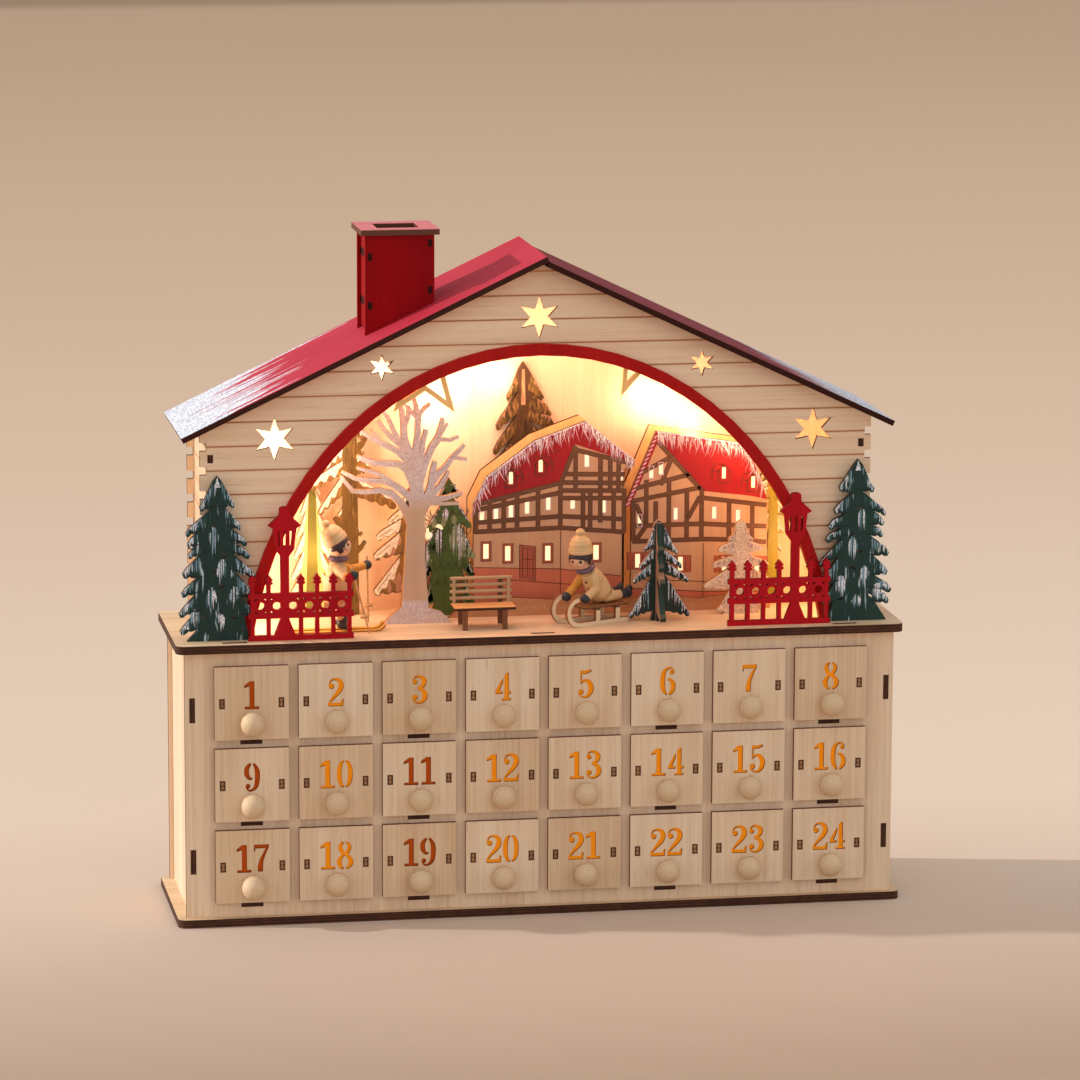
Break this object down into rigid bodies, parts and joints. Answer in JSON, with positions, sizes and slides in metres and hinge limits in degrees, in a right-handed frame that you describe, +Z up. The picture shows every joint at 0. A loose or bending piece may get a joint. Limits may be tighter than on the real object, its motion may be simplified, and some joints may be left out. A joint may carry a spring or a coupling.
{
  "type": "wooden advent calendar",
  "caption": "Plywood advent calendar: a cabinet of small numbered drawers under a lit alpine house with a winter village in its arch.",
  "frame": {"origin": "centre of the footprint's bounding box, in the plane of the base plate's underside", "axes": "+X to the right seen from the front, +Y from the drawer fronts to the back, +Z up"},
  "size_m": [0.3948, 0.1086, 0.3685],
  "materials": {
    "plate_ply": "thick plywood, satin, edges browned by the laser",
    "panel_ply": "thin plywood, satin, edges browned by the laser",
    "drawer_ply": "pale plywood, satin",
    "red_board": "red stained thin board, satin",
    "dark_red_board": "dark red painted board, satin",
    "left_roof_board": "bright red board with white glitter, semi gloss",
    "right_roof_board": "dark red board with white glitter, semi gloss",
    "green_board": "dark green board with white glitter, satin",
    "frosted_board": "pale board with pink and white glitter",
    "cottage_board": "printed and glittered thin board, satin",
    "spruce_board": "brown green board with white snow, satin",
    "moss_board": "yellow green board with white snow, satin",
    "snow_board": "white frosted board",
    "bench_wood": "natural thin wood, satin",
    "cream_paint": "cream painted wood, satin",
    "figure_wood": "turned wood, partly painted, satin",
    "led_lens": "clear warm lamp lens",
    "box_plastic": "black moulded plastic",
    "switch_plastic": "black switch knob"
  },
  "bodies": {
    "calendar": {"base_plate": "plate_ply", "case_front": "panel_ply", "case_sides": "panel_ply", "case_back": "panel_ply", "drawer_shelves": "panel_ply", "drawer_dividers": "panel_ply", "stage_plate": "plate_ply", "house_front": "panel_ply", "arch_trim": "red_board", "house_sides": "panel_ply", "house_back": "panel_ply", "roof_left": "left_roof_board", "roof_right": "right_roof_board", "chimney_walls": "dark_red_board", "chimney_cap": "dark_red_board", "hanging_stars": "panel_ply", "lamp_fences": "red_board", "corner_pines": "green_board", "bare_tree": "frosted_board", "cottage_left": "cottage_board", "cottage_right": "cottage_board", "cottage_backings": "panel_ply", "tall_spruce": "spruce_board", "forest_trees": "moss_board", "crossed_fir": "green_board", "white_fir": "snow_board", "snow_bank": "snow_board", "bench": "bench_wood", "sledge": "cream_paint", "sledge_rider": "figure_wood", "skier": "figure_wood", "led_lights": "led_lens", "battery_box": "box_plastic"},
    "drawer_01_box": {"drawer_01": "drawer_ply"},
    "drawer_02_box": {"drawer_02": "drawer_ply"},
    "drawer_03_box": {"drawer_03": "drawer_ply"},
    "drawer_04_box": {"drawer_04": "drawer_ply"},
    "drawer_05_box": {"drawer_05": "drawer_ply"},
    "drawer_06_box": {"drawer_06": "drawer_ply"},
    "drawer_07_box": {"drawer_07": "drawer_ply"},
    "drawer_08_box": {"drawer_08": "drawer_ply"},
    "drawer_09_box": {"drawer_09": "drawer_ply"},
    "drawer_10_box": {"drawer_10": "drawer_ply"},
    "drawer_11_box": {"drawer_11": "drawer_ply"},
    "drawer_12_box": {"drawer_12": "drawer_ply"},
    "drawer_13_box": {"drawer_13": "drawer_ply"},
    "drawer_14_box": {"drawer_14": "drawer_ply"},
    "drawer_15_box": {"drawer_15": "drawer_ply"},
    "drawer_16_box": {"drawer_16": "drawer_ply"},
    "drawer_17_box": {"drawer_17": "drawer_ply"},
    "drawer_18_box": {"drawer_18": "drawer_ply"},
    "drawer_19_box": {"drawer_19": "drawer_ply"},
    "drawer_20_box": {"drawer_20": "drawer_ply"},
    "drawer_21_box": {"drawer_21": "drawer_ply"},
    "drawer_22_box": {"drawer_22": "drawer_ply"},
    "drawer_23_box": {"drawer_23": "drawer_ply"},
    "drawer_24_box": {"drawer_24": "drawer_ply"},
    "cover": {"battery_cover": "box_plastic"},
    "switch": {"power_switch": "switch_plastic"}
  },
  "joints": [
    {"name": "drawer_01_slide", "type": "slide", "parent": "calendar", "child": "drawer_01_box", "axis": [0, -1, 0], "range_m": [0, 0.07]},
    {"name": "drawer_02_slide", "type": "slide", "parent": "calendar", "child": "drawer_02_box", "axis": [0, -1, 0], "range_m": [0, 0.07]},
    {"name": "drawer_03_slide", "type": "slide", "parent": "calendar", "child": "drawer_03_box", "axis": [0, -1, 0], "range_m": [0, 0.07]},
    {"name": "drawer_04_slide", "type": "slide", "parent": "calendar", "child": "drawer_04_box", "axis": [0, -1, 0], "range_m": [0, 0.07]},
    {"name": "drawer_05_slide", "type": "slide", "parent": "calendar", "child": "drawer_05_box", "axis": [0, -1, 0], "range_m": [0, 0.07]},
    {"name": "drawer_06_slide", "type": "slide", "parent": "calendar", "child": "drawer_06_box", "axis": [0, -1, 0], "range_m": [0, 0.07]},
    {"name": "drawer_07_slide", "type": "slide", "parent": "calendar", "child": "drawer_07_box", "axis": [0, -1, 0], "range_m": [0, 0.07]},
    {"name": "drawer_08_slide", "type": "slide", "parent": "calendar", "child": "drawer_08_box", "axis": [0, -1, 0], "range_m": [0, 0.07]},
    {"name": "drawer_09_slide", "type": "slide", "parent": "calendar", "child": "drawer_09_box", "axis": [0, -1, 0], "range_m": [0, 0.07]},
    {"name": "drawer_10_slide", "type": "slide", "parent": "calendar", "child": "drawer_10_box", "axis": [0, -1, 0], "range_m": [0, 0.07]},
    {"name": "drawer_11_slide", "type": "slide", "parent": "calendar", "child": "drawer_11_box", "axis": [0, -1, 0], "range_m": [0, 0.07]},
    {"name": "drawer_12_slide", "type": "slide", "parent": "calendar", "child": "drawer_12_box", "axis": [0, -1, 0], "range_m": [0, 0.07]},
    {"name": "drawer_13_slide", "type": "slide", "parent": "calendar", "child": "drawer_13_box", "axis": [0, -1, 0], "range_m": [0, 0.07]},
    {"name": "drawer_14_slide", "type": "slide", "parent": "calendar", "child": "drawer_14_box", "axis": [0, -1, 0], "range_m": [0, 0.07]},
    {"name": "drawer_15_slide", "type": "slide", "parent": "calendar", "child": "drawer_15_box", "axis": [0, -1, 0], "range_m": [0, 0.07]},
    {"name": "drawer_16_slide", "type": "slide", "parent": "calendar", "child": "drawer_16_box", "axis": [0, -1, 0], "range_m": [0, 0.07]},
    {"name": "drawer_17_slide", "type": "slide", "parent": "calendar", "child": "drawer_17_box", "axis": [0, -1, 0], "range_m": [0, 0.07]},
    {"name": "drawer_18_slide", "type": "slide", "parent": "calendar", "child": "drawer_18_box", "axis": [0, -1, 0], "range_m": [0, 0.07]},
    {"name": "drawer_19_slide", "type": "slide", "parent": "calendar", "child": "drawer_19_box", "axis": [0, -1, 0], "range_m": [0, 0.07]},
    {"name": "drawer_20_slide", "type": "slide", "parent": "calendar", "child": "drawer_20_box", "axis": [0, -1, 0], "range_m": [0, 0.07]},
    {"name": "drawer_21_slide", "type": "slide", "parent": "calendar", "child": "drawer_21_box", "axis": [0, -1, 0], "range_m": [0, 0.07]},
    {"name": "drawer_22_slide", "type": "slide", "parent": "calendar", "child": "drawer_22_box", "axis": [0, -1, 0], "range_m": [0, 0.07]},
    {"name": "drawer_23_slide", "type": "slide", "parent": "calendar", "child": "drawer_23_box", "axis": [0, -1, 0], "range_m": [0, 0.07]},
    {"name": "drawer_24_slide", "type": "slide", "parent": "calendar", "child": "drawer_24_box", "axis": [0, -1, 0], "range_m": [0, 0.07]},
    {"name": "battery_cover_slide", "type": "slide", "parent": "calendar", "child": "cover", "axis": [-1, 0, 0], "range_m": [0, 0.05]},
    {"name": "power_switch_slide", "type": "slide", "parent": "calendar", "child": "switch", "axis": [1, 0, 0], "range_m": [0, 0.003]}
  ]
}
